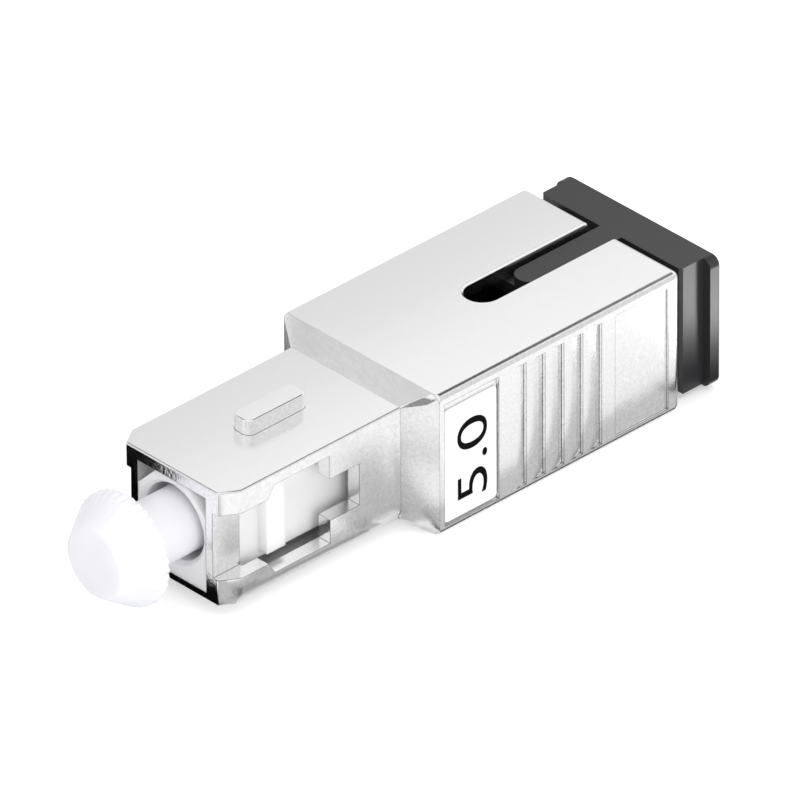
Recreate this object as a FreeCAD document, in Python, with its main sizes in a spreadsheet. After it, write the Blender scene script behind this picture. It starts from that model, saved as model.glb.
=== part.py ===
import FreeCAD, Part
import Sketcher

import math
import os
import re

os.makedirs("parts", exist_ok=True)
doc = FreeCAD.newDocument("FibreAttenuator")

# Fixed plug-in fibre attenuator, in millimetres.
# The optical axis is X, from the plug end to the receptacle end, and the origin lies on it
# in the plane of the plug's front face. Z is up, and the keys point up.

# Driving dimensions
sizes = {
    # shell, outside
    "plugWidth": 9.0,
    "plugTop": 3.7,
    "plugBottom": 3.9,
    "plugLength": 13.6,
    "plugCornerAlong": 1.2,
    "plugCornerAcross": 0.75,
    "plugBevelAcross": 0.25,
    "plugBevelRise": 0.7,
    "rampLength": 1.25,
    "bodyWidth": 12.8,
    "bodyHeight": 9.42,
    "bodyLength": 19.2,
    "bodyEdgeRound": 0.4,
    "bodyRearRound": 0.5,
    "bodyCornerAlong": 0.56,
    "bodyCornerAcross": 0.55,
    "bodyCornerDrop": 0.46,
    "plugEdgeRound": 0.12,
    # shell, key on the plug
    "keyStart": 5.3,
    "keyLength": 4.7,
    "keyWidth": 1.55,
    "keyHeight": 0.98,
    "keyRound": 0.55,
    "keyEdgeRound": 0.12,
    # shell, inside of the plug
    "plugWall": 0.95,
    "plugRoof": 0.75,
    "plugFloor": 0.47,
    "postLength": 2.08,
    "postWall": 0.55,
    "channelHalf": 2.17,
    "channelEnd": 3.24,
    "camEnd": 3.75,
    "windowHalf": 2.95,
    "windowEnd": 8.05,
    "hookSlotHalf": 1.4,
    "hookSlotEnd": 10.35,
    # shell, receptacle
    "portWidth": 9.1,
    "portHeight": 7.5,
    "portDepth": 19.45,
    "keywayWidth": 2.25,
    "keywayLength": 10.75,
    "keywayBevel": 0.12,
    "seamOverlap": 0.1,
    # shell, side panels
    "panelStart": 0.4,
    "panelTop": 4.0,
    "panelBottom": 4.2,
    "labelBayLength": 4.28,
    "labelBayDepth": 0.22,
    "gripFirst": 1.36,
    "gripPitch": 1.5,
    "gripWidth": 0.8,
    "gripDepth": 0.21,
    "gripCount": 5,
    "rearBayMargin": 1.04,
    "rearBayLength": 4.24,
    "rearBayDepth": 0.14,
    # value label
    "labelMargin": 0.075,
    "labelTopGap": 0.53,
    "labelSheet": 0.1,
    # running clearances
    "slideClearance": 0.1,
    "frameClearance": 0.05,
    "fitClearance": 0.02,
    "fibreClearance": 0.0005,
    "springClearance": 0.15,
    "neckClearance": 0.42,
    "stemClearance": 0.25,
    "earClearance": 0.2,
    # plug frame
    "frameWall": 0.35,
    "frameTopCut": 1.4,
    "frameFootLength": 2.0,
    "frameFootDrop": 0.5,
    "mouthWall": 0.33,
    "mouthBevel": 0.26,
    "frameMouthDepth": 2.3,
    "frameThroatRadius": 1.7,
    "frameThroatLength": 0.8,
    "shoulderStart": 4.1,
    "shoulderLength": 1.45,
    "shoulderHalf": 2.4,
    "shoulderProud": 0.7,
    # latch housing
    "floatTravel": 1.2,
    "basePlate": 2.0,
    "tubeLip": 0.35,
    "hookTip": 1.9,
    "armInset": 0.15,
    "armThick": 0.85,
    "armHalf": 1.3,
    "catchDepth": 0.5,
    "earHalf": 2.6,
    "nibLength": 0.8,
    "nibWidth": 2.4,
    "nibHeight": 0.35,
    # ferrule and what it carries
    "ferruleRadius": 1.25,
    "ferruleLength": 22.3,
    "ferruleTip": 4.2,
    "ferruleBevel": 0.35,
    "fibreRadius": 0.0625,
    "flangeRadius": 2.3,
    "flangeCollar": 1.4,
    "flangeLength": 3.5,
    "flangeSleeveRadius": 1.62,
    "flangeNotchWidth": 0.8,
    "flangeNotchDepth": 0.45,
    "flangeNotchCount": 4,
    "springWire": 0.36,
    "springTurns": 7,
    "ferruleTravel": 1.0,
    # split sleeve
    "sleeveLength": 11.4,
    "sleeveWall": 0.33,
    "sleeveSlit": 0.5,
    "seatFlange": 0.4,
    # ferrule dust cap
    "capEnd": 6.05,
    "capEndRadius": 2.2,
    "capRimFront": 4.0,
    "capRimBack": 3.45,
    "capRimRadius": 3.55,
    "capToothDepth": 0.16,
    "capToothCount": 40,
    "capEndRound": 0.35,
    # receptacle dust plug
    "plugGap": 0.6,
    "blockLength": 1.8,
    "blockTop": 4.23,
    "blockBottom": 4.3,
    "blockBevel": 0.18,
    "flangePlateLength": 0.8,
    "flangePlateWidth": 12.66,
    "flangePlateRim": 0.58,
    "flangePlateDrop": 0.12,
    "flangePlateRound": 0.6,
    "flangeEdgeRound": 0.12,
    "stemReach": 6.75,
    "stemNoseFlat": 0.15,
    "insertWall": 0.9,
    "insertWindowGap": 0.6,
}

# Sizes that follow from the driving ones, as formulas of the sheet
derived = {
    "bodyStart": "plugLength + rampLength",
    "bodyEnd": "bodyStart + bodyLength",
    "keywayStart": "bodyEnd - keywayLength + keywayWidth / 2",
    "cavityTop": "plugTop - plugRoof",
    "cavityBottom": "plugBottom - plugFloor",
    "chamberRadius": "flangeRadius + slideClearance",
    "frameSide": "chamberRadius + frameWall",
    "frameTop": "cavityTop - frameClearance",
    "frameBottom": "cavityBottom - frameClearance",
    "frameMouthRadius": "frameSide - mouthWall",
    "postInner": "frameSide + frameClearance",
    "postFace": "postInner + postWall",
    "cavitySide": "plugWidth / 2 - plugWall",
    "ferruleSeat": "frameMouthDepth + frameThroatLength",
    "portStart": "bodyEnd - portDepth",
    "plateStart": "portStart + floatTravel + slideClearance",
    "plateEnd": "plateStart + basePlate",
    "plateSide": "portWidth / 2 - slideClearance",
    "plateTop": "portHeight / 2 - slideClearance",
    "nibStart": "plateEnd - 1.25 * nibLength",
    "armOuter": "plateSide - armInset",
    "armInner": "armOuter - armThick",
    "tubeRadius": "chamberRadius - frameClearance",
    "throatRadius": "ferruleRadius + slideClearance",
    "sleeveInner": "ferruleRadius + fitClearance",
    "sleeveRadius": "sleeveInner + sleeveWall",
    "sleeveSeatRadius": "sleeveRadius + frameClearance",
    "matingPlane": "ferruleLength - ferruleTip",
    "sleeveStart": "matingPlane - sleeveLength / 2",
    "sleeveEnd": "matingPlane + sleeveLength / 2",
    "barrelStart": "sleeveStart - frameClearance - tubeLip",
    "tubeEnd": "sleeveEnd + frameClearance + tubeLip",
    "catchPlane": "matingPlane + ferruleTip + shoulderStart + shoulderLength + slideClearance",
    "seatStart": "barrelStart - seatFlange",
    "springStart": "ferruleSeat + flangeCollar",
    "springLength": "seatStart - springStart",
    "springRadius": "flangeSleeveRadius + springClearance + springWire / 2",
    "boreRadius": "fibreRadius + fibreClearance",
    "capBore": "ferruleRadius + frameClearance",
    "capNeckRadius": "frameMouthRadius - neckClearance",
    "capNeckEnd": "frameMouthDepth - ferruleTravel - 2 * slideClearance",
    "labelStart": "bodyStart + panelStart + labelMargin",
    "labelLength": "labelBayLength - 2 * labelMargin",
    "labelHeight": "panelTop + panelBottom - slideClearance - labelTopGap",
    "labelFace": "bodyWidth / 2 - labelBayDepth",
    "gripStart": "bodyStart + panelStart + labelBayLength + gripFirst",
    "rearBayStart": "bodyEnd - rearBayMargin - rearBayLength",
    "blockStart": "bodyEnd + plugGap",
    "blockWidth": "flangePlateWidth - 2 * flangePlateRim",
    "stemStart": "bodyEnd - stemReach",
    "stemWidth": "keywayWidth - 2 * stemClearance",
    "stemRound": "(stemWidth - stemNoseFlat) / 2",
    "plateFlangeStart": "blockStart + blockLength",
    "insertSide": "portWidth / 2 - slideClearance",
    "insertTop": "portHeight / 2 - slideClearance",
    "insertWindowHalf": "earHalf + earClearance",
    "insertWindowEnd": "catchPlane + hookTip + insertWindowGap",
}

sheet = doc.addObject("Spreadsheet::Sheet", "Sizes")
cells = {name: str(number) for name, number in sizes.items()}
cells.update({name: "=" + formula for name, formula in derived.items()})
for row, name in enumerate(cells, start=1):
    sheet.set(f"A{row}", name)
    sheet.setAlias(f"B{row}", name)
for row, content in enumerate(cells.values(), start=1):
    sheet.set(f"B{row}", content)
doc.recompute()


# Helpers: every length given to them is a formula of the sheet's names

def linked(formula):
    def point_at_sheet(found):
        return "Sizes." + found.group() if found.group() in cells else found.group()
    return re.sub(r"[A-Za-z]\w*", point_at_sheet, formula)


def bind(feature, **formulas):
    for name, formula in formulas.items():
        feature.setExpression(name, linked(formula))


def new_body(label):
    body = doc.addObject("PartDesign::Body", label)
    body.Label = label
    return body


def origin_part(body, role):
    return next(item for item in body.Origin.OriginFeatures if item.Role == role)


def new_sketch(body, name, role, offset):
    sketch = body.newObject("Sketcher::SketchObject", name)
    sketch.AttachmentSupport = [(origin_part(body, role), "")]
    sketch.MapMode = "FlatFace"
    sketch.setExpression("AttachmentOffset.Base.z", linked(offset))
    return sketch


def fix_point(sketch, geometry, end, start, formulas):
    for kind, length, formula in zip(("DistanceX", "DistanceY"), start[:2], formulas):
        row = sketch.addConstraint(Sketcher.Constraint(kind, -1, 1, geometry, end, length))
        sketch.setExpression(f"Constraints[{row}]", linked(formula))


def outline(body, name, role, offset, *loops):
    # Closed loops of straight lines, drawn on a ring first and then pulled to their corners
    sketch = new_sketch(body, name, role, offset)
    for corners in loops:
        first = sketch.GeometryCount
        count = len(corners)
        turns = [2 * math.pi * number / count for number in range(count)]
        ring = [FreeCAD.Vector(math.cos(turn), math.sin(turn), 0) for turn in turns]
        for number in range(count):
            sketch.addGeometry(Part.LineSegment(ring[number], ring[(number + 1) % count]), False)
        for number, formulas in enumerate(corners):
            line = first + number
            follower = first + (number + 1) % count
            sketch.addConstraint(Sketcher.Constraint("Coincident", line, 2, follower, 1))
            fix_point(sketch, line, 1, ring[number], formulas)
    return sketch


def rectangle(body, name, role, offset, left, right, bottom, top):
    corners = [(left, bottom), (right, bottom), (right, top), (left, top)]
    return outline(body, name, role, offset, corners)


def circle(body, name, role, offset, radius, centre=("0", "0")):
    sketch = new_sketch(body, name, role, offset)
    start = FreeCAD.Vector(0, 0, 0)
    sketch.addGeometry(Part.Circle(start, FreeCAD.Vector(0, 0, 1), 1), False)
    fix_point(sketch, 0, 3, start, centre)
    row = sketch.addConstraint(Sketcher.Constraint("Radius", 0, 1))
    sketch.setExpression(f"Constraints[{row}]", linked(radius))
    return sketch


def add_feature(body, kind, sketch, **formulas):
    feature = body.newObject("PartDesign::" + kind, sketch.Name + kind)
    feature.Profile = sketch
    bind(feature, **formulas)
    return feature


def pad(body, sketch, length):
    return add_feature(body, "Pad", sketch, Length=length)


def pad_both_ways(body, sketch, length):
    feature = pad(body, sketch, length)
    feature.Midplane = True
    return feature


def pocket(body, sketch, length):
    return add_feature(body, "Pocket", sketch, Length=length)


def pocket_both_ways(body, sketch, length):
    feature = pocket(body, sketch, length)
    feature.Midplane = True
    return feature


def revolve(body, name, corners):
    # Turned about the optical axis: each corner is (place along it, radius)
    sketch = outline(body, name, "XY_Plane", "0", corners)
    feature = body.newObject("PartDesign::Revolution", name + "Turned")
    feature.Profile = sketch
    feature.ReferenceAxis = (origin_part(body, "X_Axis"), [""])
    feature.Angle = 360
    return feature


def mirror_sideways(body, features):
    mirrored = body.newObject("PartDesign::Mirrored", "Mirrored")
    mirrored.Originals = features
    mirrored.MirrorPlane = (origin_part(body, "XZ_Plane"), [""])
    body.Tip = mirrored
    return mirrored


def repeat_around(body, feature, count):
    pattern = body.newObject("PartDesign::PolarPattern", "Around")
    pattern.Originals = [feature]
    pattern.Axis = (origin_part(body, "X_Axis"), [""])
    pattern.Angle = 360
    bind(pattern, Occurrences=count)
    body.Tip = pattern
    return pattern


def read(name):
    return float(sheet.get(name))


def dress(body, kind, chosen, **formulas):
    # A fillet or chamfer on the edges of the body so far that the test picks
    doc.recompute()
    base = body.Tip
    edges = [f"Edge{number}" for number, edge in enumerate(base.Shape.Edges, start=1) if chosen(edge)]
    feature = body.newObject("PartDesign::" + kind, "Edge" + kind)
    feature.Base = (base, edges)
    bind(feature, **formulas)
    return feature


def lies(edge, axis, place, slack=0.001):
    # True where the whole edge lies in the plane across that axis
    box = edge.BoundBox
    low = getattr(box, axis + "Min")
    high = getattr(box, axis + "Max")
    return abs(low - place) < slack and abs(high - place) < slack


def runs_along(edge, axis):
    box = edge.BoundBox
    spans = {"X": box.XLength, "Y": box.YLength, "Z": box.ZLength}
    others = [span for name, span in spans.items() if name != axis]
    return spans[axis] > 0.01 and max(others) < 0.001


# Outer shell: one nickel-plated casting, from the plug with its key to the receptacle

def make_outer_shell():
    body = new_body("outer_shell")
    half = "bodyWidth / 2"
    rear = rectangle(body, "RearSection", "YZ_Plane", "bodyStart",
                     "-" + half, half, "-bodyHeight / 2", "bodyHeight / 2")
    pad(body, rear, "bodyLength")
    dress(body, "Fillet", lambda edge: runs_along(edge, "X"), Radius="bodyEdgeRound")
    end = read("bodyEnd")
    dress(body, "Fillet", lambda edge: lies(edge, "X", end), Radius="bodyRearRound")
    cut_body_corners(body)
    add_ramp(body)
    add_plug_section(body)
    add_plug_key(body)
    cut_hollows(body)
    cut_side_windows(body)
    cut_keyway(body)
    cut_side_panels(body)
    return body


def cut_body_corners(body):
    # A small facet on each front corner, cut by a loft that thins out along the body
    cuts = []
    for name, way in (("Upper", ""), ("Lower", "-")):
        corner = f"{way}(bodyHeight / 2 + seamOverlap)"
        level = f"{way}(bodyHeight / 2 - bodyCornerDrop)"
        side = "bodyWidth / 2 + seamOverlap"
        wide = [(side, level), (side, corner), ("bodyWidth / 2 - bodyCornerAcross", corner)]
        thin = [(side, f"{way}(bodyHeight / 2)"), (side, corner), ("bodyWidth / 2", corner)]
        loft = body.newObject("PartDesign::SubtractiveLoft", name + "Corner")
        loft.Profile = outline(body, name + "CornerWide", "YZ_Plane", "bodyStart", wide)
        loft.Sections = [outline(body, name + "CornerThin", "YZ_Plane",
                                 "bodyStart + bodyCornerAlong", thin)]
        loft.Ruled = True
        cuts.append(loft)
    mirror_sideways(body, cuts)


def cut_corners(half, bottom, top, across, rise):
    # A section with its four corners cut off
    return [(f"-({half} - {across})", bottom), (f"{half} - {across}", bottom),
            (half, f"{bottom} + {rise}"), (half, f"{top} - {rise}"),
            (f"{half} - {across}", top), (f"-({half} - {across})", top),
            (f"-({half})", f"{top} - {rise}"), (f"-({half})", f"{bottom} + {rise}")]


def add_ramp(body):
    front = outline(body, "RampFront", "YZ_Plane", "plugLength", cut_corners(
        "plugWidth / 2", "-plugBottom", "plugTop", "plugEdgeRound", "plugEdgeRound"))
    back = outline(body, "RampBack", "YZ_Plane", "bodyStart", cut_corners(
        "bodyWidth / 2", "-bodyHeight / 2", "bodyHeight / 2", "bodyCornerAcross", "bodyCornerDrop"))
    ramp = body.newObject("PartDesign::AdditiveLoft", "Ramp")
    ramp.Profile = front
    ramp.Sections = [back]
    ramp.Ruled = True


def add_plug_section(body):
    side = "plugWidth / 2"
    inset = "plugWidth / 2 - plugBevelAcross"
    rise = "-plugBottom + plugBevelRise"
    corners = [(f"-({inset})", "-plugBottom"), (inset, "-plugBottom"), (side, rise),
               (side, "plugTop"), ("-" + side, "plugTop"), ("-" + side, rise)]
    pad(body, outline(body, "PlugSection", "YZ_Plane", "0", corners), "plugLength")
    near = "-(plugWidth / 2 - 2 * plugCornerAcross)"
    far = "-(plugWidth / 2 + plugCornerAcross)"
    corner = [("-plugCornerAlong", near), ("2 * plugCornerAlong", far), ("-plugCornerAlong", far)]
    cut = pocket_both_ways(body, outline(body, "PlugCorner", "XY_Plane", "0", corner),
                           "2 * (plugTop + plugBottom)")
    mirror_sideways(body, [cut])
    top = read("plugTop")
    bottom = -read("plugBottom")
    end = read("plugLength") + 0.001

    def outside(edge):
        rim = lies(edge, "Z", top) or lies(edge, "Z", bottom) or lies(edge, "X", 0)
        return rim and edge.BoundBox.XMax < end and not lies(edge, "X", end, 0.01)
    dress(body, "Fillet", outside, Radius="plugEdgeRound")


def add_plug_key(body):
    key = rectangle(body, "Key", "XY_Plane", "plugTop", "keyStart", "keyStart + keyLength",
                    "-keyWidth / 2", "keyWidth / 2")
    pad(body, key, "keyHeight")
    top = read("plugTop") + read("keyHeight")

    def upright(edge):
        return runs_along(edge, "Z") and abs(edge.BoundBox.ZMax - top) < 0.001
    dress(body, "Fillet", upright, Radius="keyRound")
    dress(body, "Fillet", lambda edge: lies(edge, "Z", top), Radius="keyEdgeRound")


def cut_hollows(body):
    port = rectangle(body, "Port", "YZ_Plane", "bodyEnd", "-portWidth / 2", "portWidth / 2",
                     "-portHeight / 2", "portHeight / 2")
    pocket(body, port, "portDepth")
    cavity = rectangle(body, "Cavity", "YZ_Plane", "portStart", "-cavitySide", "cavitySide",
                       "-cavityBottom", "cavityTop")
    pocket(body, cavity, "portStart - postLength")
    mouth = rectangle(body, "Mouth", "YZ_Plane", "postLength", "-postInner", "postInner",
                      "-cavityBottom", "cavityTop")
    pocket(body, mouth, "postLength + seamOverlap")
    nib = rectangle(body, "NibPocket", "XY_Plane", "0", "nibStart - floatTravel - slideClearance",
                    "nibStart + nibLength + fitClearance", "-nibWidth / 2 - slideClearance",
                    "nibWidth / 2 + slideClearance")
    pocket_both_ways(body, nib, "2 * (plateTop + nibHeight + slideClearance)")


def cut_side_windows(body):
    recess = rectangle(body, "PostRecess", "XZ_Plane", "plugWidth / 2", "-seamOverlap",
                       "postLength", "-channelHalf", "channelHalf")
    cut = pocket(body, recess, "plugWidth / 2 - postFace")
    mirror_sideways(body, [cut])
    upper = [("postLength", "channelHalf"), ("channelEnd", "channelHalf"),
             ("camEnd", "windowHalf"), ("windowEnd", "windowHalf"),
             ("windowEnd", "hookSlotHalf"), ("hookSlotEnd", "hookSlotHalf")]
    lower = [(along, "-" + up) for along, up in reversed(upper)]
    window = outline(body, "Window", "XZ_Plane", "0", upper + lower)
    pocket_both_ways(body, window, "plugWidth + 2 * seamOverlap")


def cut_keyway(body):
    depth = "bodyHeight / 2 - portHeight / 2 + seamOverlap"
    channel = rectangle(body, "Keyway", "XY_Plane", "bodyHeight / 2", "keywayStart",
                        "bodyEnd + seamOverlap", "-keywayWidth / 2", "keywayWidth / 2")
    pocket(body, channel, depth)
    rounded = circle(body, "KeywayEnd", "XY_Plane", "bodyHeight / 2", "keywayWidth / 2",
                     ("keywayStart", "0"))
    pocket(body, rounded, depth)
    top = read("bodyHeight") / 2
    reach = read("keywayWidth") / 2 + 0.001

    def rim(edge):
        return lies(edge, "Z", top) and max(abs(edge.BoundBox.YMin), abs(edge.BoundBox.YMax)) < reach
    dress(body, "Chamfer", rim, Size="keywayBevel")


def cut_side_panels(body):
    bays = [("LabelBay", "bodyStart + panelStart", "labelBayLength", "labelBayDepth"),
            ("RearBay", "rearBayStart", "rearBayLength", "rearBayDepth")]
    cuts = []
    for name, start, length, depth in bays:
        bay = rectangle(body, name, "XZ_Plane", "bodyWidth / 2", start, f"{start} + {length}",
                        "-panelBottom", "panelTop")
        cuts.append(pocket(body, bay, depth))
    mirror_sideways(body, cuts)
    step = "gripStart + gripWidth"
    outer = "bodyWidth / 2 + seamOverlap"
    floor = "bodyWidth / 2 - gripDepth"
    wedge = [("gripStart", "bodyWidth / 2"), ("gripStart", outer), (step, outer), (step, floor)]
    other = [(along, f"-({out})") for along, out in wedge]
    grip = pocket(body, outline(body, "Grip", "XY_Plane", "panelTop", wedge, other),
                  "panelTop + panelBottom")
    row = body.newObject("PartDesign::LinearPattern", "GripRow")
    row.Originals = [grip]
    row.Direction = (origin_part(body, "X_Axis"), [""])
    row.Mode = "Spacing"
    bind(row, Offset="gripPitch", Occurrences="gripCount")
    body.Tip = row


# Value label in the front bay of the near side

def make_value_label():
    label = doc.addObject("Part::Box", "value_label")
    label.Label = "value_label"
    bind(label, Length="labelLength", Width="labelSheet", Height="labelHeight")
    label.setExpression("Placement.Base.x", linked("labelStart"))
    label.setExpression("Placement.Base.y", linked("-labelFace - labelSheet"))
    label.setExpression("Placement.Base.z", linked("-panelBottom + slideClearance"))
    return label


# Plug frame: the white moulding that floats in the shell and carries the latch shoulders

def make_plug_frame():
    body = new_body("plug_frame")
    side = "frameSide"
    cut = "frameTop - frameTopCut"
    inset = "frameSide - frameTopCut"

    def section(name, start, bottom):
        corners = [("-" + side, bottom), (side, bottom), (side, cut), (inset, "frameTop"),
                   (f"-({inset})", "frameTop"), ("-" + side, cut)]
        return outline(body, name, "YZ_Plane", start, corners)
    pad(body, section("FrameFoot", "0", "-frameBottom"), "frameFootLength")
    pad(body, section("FrameSection", "frameFootLength", "-frameBottom + frameFootDrop"),
        "plateStart - frameFootLength")
    proud = "frameSide + shoulderProud"
    shoulders = rectangle(body, "Shoulders", "YZ_Plane", "shoulderStart", f"-({proud})", proud,
                          "-shoulderHalf", "shoulderHalf")
    pad(body, shoulders, "shoulderLength")
    pocket(body, circle(body, "Chamber", "YZ_Plane", "plateStart", "chamberRadius"),
           "plateStart - ferruleSeat")
    pocket(body, circle(body, "Throat", "YZ_Plane", "ferruleSeat", "frameThroatRadius"),
           "frameThroatLength")
    pocket(body, circle(body, "Mouth", "YZ_Plane", "frameMouthDepth", "frameMouthRadius"),
           "frameMouthDepth")
    dress(body, "Chamfer", lambda edge: lies(edge, "X", 0) and edge.isClosed(), Size="mouthBevel")
    return body


# Latch housing: base plate, sleeve tube and the two hooks of the receptacle

def make_latch_housing():
    body = new_body("latch_housing")
    plate = rectangle(body, "BasePlate", "YZ_Plane", "plateStart", "-plateSide", "plateSide",
                      "-plateTop", "plateTop")
    pad(body, plate, "basePlate")
    nib = rectangle(body, "Nibs", "XY_Plane", "0", "nibStart", "nibStart + nibLength",
                    "-nibWidth / 2", "nibWidth / 2")
    pad_both_ways(body, nib, "2 * (plateTop + nibHeight)")
    pad(body, circle(body, "Barrel", "YZ_Plane", "barrelStart", "tubeRadius"),
        "plateStart - barrelStart")
    pad(body, circle(body, "Tube", "YZ_Plane", "plateEnd", "tubeRadius"), "tubeEnd - plateEnd")
    tip = "catchPlane + hookTip"
    nose = "armInner - catchDepth"
    arm = [("plateEnd", "armInner"), ("catchPlane", "armInner"), ("catchPlane", nose),
           ("catchPlane + hookTip / 3", nose), (tip, "armInner"), (tip, "armOuter"),
           ("plateEnd", "armOuter")]
    other = [(along, f"-({out})") for along, out in arm]
    arms = outline(body, "Arms", "XY_Plane", "0", arm, other)
    pad_both_ways(body, arms, "2 * armHalf")
    ear = [("catchPlane", "armInner"), (tip, "armInner"), (tip, "armOuter"),
           ("catchPlane", "armOuter")]
    twin = [(along, f"-({out})") for along, out in ear]
    pad_both_ways(body, outline(body, "Ears", "XY_Plane", "0", ear, twin), "2 * earHalf")
    pocket(body, circle(body, "SleeveSeat", "YZ_Plane", "tubeEnd - tubeLip", "sleeveSeatRadius"),
           "tubeEnd - tubeLip - barrelStart")
    pocket(body, circle(body, "Lip", "YZ_Plane", "tubeEnd", "throatRadius"), "tubeLip")
    return body


# Sleeve retainer: closes the barrel in front and is the seat of the spring

def make_sleeve_retainer():
    body = new_body("sleeve_retainer")
    spigot = "sleeveSeatRadius - fitClearance"
    end = "barrelStart + tubeLip"
    revolve(body, "Retainer", [
        ("seatStart", "throatRadius"), ("seatStart", "tubeRadius"), ("barrelStart", "tubeRadius"),
        ("barrelStart", spigot), (end, spigot), (end, "throatRadius")])
    return body


# Split sleeve: the slit zirconia tube that lines up two ferrules

def make_split_sleeve():
    body = new_body("split_sleeve")
    revolve(body, "Sleeve", [
        ("sleeveStart", "sleeveInner"), ("sleeveStart", "sleeveRadius"),
        ("sleeveEnd", "sleeveRadius"), ("sleeveEnd", "sleeveInner")])
    slit = rectangle(body, "Slit", "XY_Plane", "2 * sleeveRadius", "sleeveStart - seamOverlap",
                     "sleeveEnd + seamOverlap", "-sleeveSlit / 2", "sleeveSlit / 2")
    pocket(body, slit, "2 * sleeveRadius")
    return body


# Ferrule, its flange and the doped fibre in its bore

def make_ferrule():
    body = new_body("ferrule")
    slim = "ferruleRadius - ferruleBevel"
    revolve(body, "Ferrule", [
        ("-ferruleTip", "boreRadius"), ("-ferruleTip", slim),
        ("-ferruleTip + ferruleBevel", "ferruleRadius"), ("matingPlane - ferruleBevel", "ferruleRadius"),
        ("matingPlane", slim), ("matingPlane", "boreRadius")])
    return body


def make_doped_fibre():
    fibre = doc.addObject("Part::Cylinder", "doped_fibre")
    fibre.Label = "doped_fibre"
    fibre.Placement = FreeCAD.Placement(FreeCAD.Vector(), FreeCAD.Rotation(FreeCAD.Vector(0, 1, 0), 90))
    bind(fibre, Radius="fibreRadius", Height="ferruleLength")
    fibre.setExpression("Placement.Base.x", linked("-ferruleTip"))
    return fibre


def make_ferrule_flange():
    body = new_body("ferrule_flange")
    end = "ferruleSeat + flangeLength"
    revolve(body, "Flange", [
        ("ferruleSeat", "ferruleRadius"), ("ferruleSeat", "flangeRadius"),
        ("springStart", "flangeRadius"), ("springStart", "flangeSleeveRadius"),
        (end, "flangeSleeveRadius"), (end, "ferruleRadius")])
    notch = rectangle(body, "Notch", "YZ_Plane", "springStart", "-flangeNotchWidth / 2",
                      "flangeNotchWidth / 2", "flangeRadius - flangeNotchDepth", "2 * flangeRadius")
    cut = pocket(body, notch, "flangeCollar")
    repeat_around(body, cut, "flangeNotchCount")
    return body


# Ferrule spring between the flange and the sleeve retainer

def make_ferrule_spring():
    body = new_body("ferrule_spring")
    wire = circle(body, "Wire", "XY_Plane", "0", "springWire / 2",
                  ("springStart + springWire / 2", "springRadius"))
    coil = body.newObject("PartDesign::AdditiveHelix", "Coil")
    coil.Profile = wire
    coil.ReferenceAxis = (origin_part(body, "X_Axis"), [""])
    coil.Mode = "height-turns-angle"
    bind(coil, Height="springLength - springWire", Turns="springTurns")
    return body


# Dust cap on the ferrule, with a toothed rim to grip it by

def make_ferrule_dust_cap():
    body = new_body("ferrule_dust_cap")
    blind = "-ferruleTip - slideClearance"
    revolve(body, "Cap", [
        ("-capEnd", "0"), ("-capEnd", "capEndRadius"), ("-capRimFront", "capRimRadius"),
        ("-capRimBack", "capRimRadius"), ("-capRimBack", "capNeckRadius"),
        ("capNeckEnd", "capNeckRadius"), ("capNeckEnd", "capBore"), (blind, "capBore"), (blind, "0")])
    front = read("capEnd")
    dress(body, "Fillet", lambda edge: lies(edge, "X", -front), Radius="capEndRound")
    outer = "capRimRadius + seamOverlap"
    half = "pi * capRimRadius / capToothCount / 1rad"
    tooth = [(f"-{half}", outer), (half, outer), ("0", "capRimRadius - capToothDepth")]
    cut = pocket(body, outline(body, "Tooth", "YZ_Plane", "-capRimBack", tooth),
                 "capEnd - capRimBack")
    repeat_around(body, cut, "capToothCount")
    return body


# Dust plug in the receptacle, with the key stem that shows in the keyway

def make_receptacle_dust_plug():
    body = new_body("receptacle_dust_plug")
    insert = rectangle(body, "Insert", "YZ_Plane", "stemStart", "-insertSide", "insertSide",
                       "-insertTop", "insertTop")
    pad(body, insert, "blockStart - stemStart")
    stem = rectangle(body, "Stem", "XY_Plane", "0", "stemStart", "blockStart",
                     "-stemWidth / 2", "stemWidth / 2")
    pad(body, stem, "blockTop")
    nose = read("stemStart")
    top = read("blockTop")

    def upright(edge):
        return runs_along(edge, "Z") and lies(edge, "X", nose) and abs(edge.BoundBox.ZMax - top) < 0.001
    dress(body, "Fillet", upright, Radius="stemRound")
    hollow = rectangle(body, "Hollow", "YZ_Plane", "blockStart", "-insertSide + insertWall",
                       "insertSide - insertWall", "-insertTop + insertWall", "insertTop - insertWall")
    pocket(body, hollow, "blockStart - stemStart + seamOverlap")
    window = rectangle(body, "HookWindow", "XZ_Plane", "0", "stemStart - seamOverlap",
                       "insertWindowEnd", "-insertWindowHalf", "insertWindowHalf")
    pocket_both_ways(body, window, "2 * insertSide + 2 * seamOverlap")
    block = rectangle(body, "Block", "YZ_Plane", "blockStart", "-blockWidth / 2", "blockWidth / 2",
                      "-blockBottom", "blockTop")
    pad(body, block, "blockLength")
    front = read("blockStart")
    side = read("blockWidth") / 2
    low = -read("blockBottom")

    def block_rim(edge):
        return lies(edge, "X", front) and (lies(edge, "Y", side) or lies(edge, "Y", -side)
                                           or lies(edge, "Z", low))
    dress(body, "Chamfer", block_rim, Size="blockBevel")
    plate = rectangle(body, "FlangePlate", "YZ_Plane", "plateFlangeStart", "-flangePlateWidth / 2",
                      "flangePlateWidth / 2", "-blockBottom - flangePlateDrop", "blockTop")
    pad(body, plate, "flangePlateLength")
    side = read("flangePlateWidth") / 2

    def corner(edge):
        return runs_along(edge, "X") and abs(abs(edge.BoundBox.YMax) - side) < 0.001
    dress(body, "Fillet", corner, Radius="flangePlateRound")
    back = read("plateFlangeStart") + read("flangePlateLength")
    dress(body, "Fillet", lambda edge: lies(edge, "X", back), Radius="flangeEdgeRound")
    return body


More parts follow.
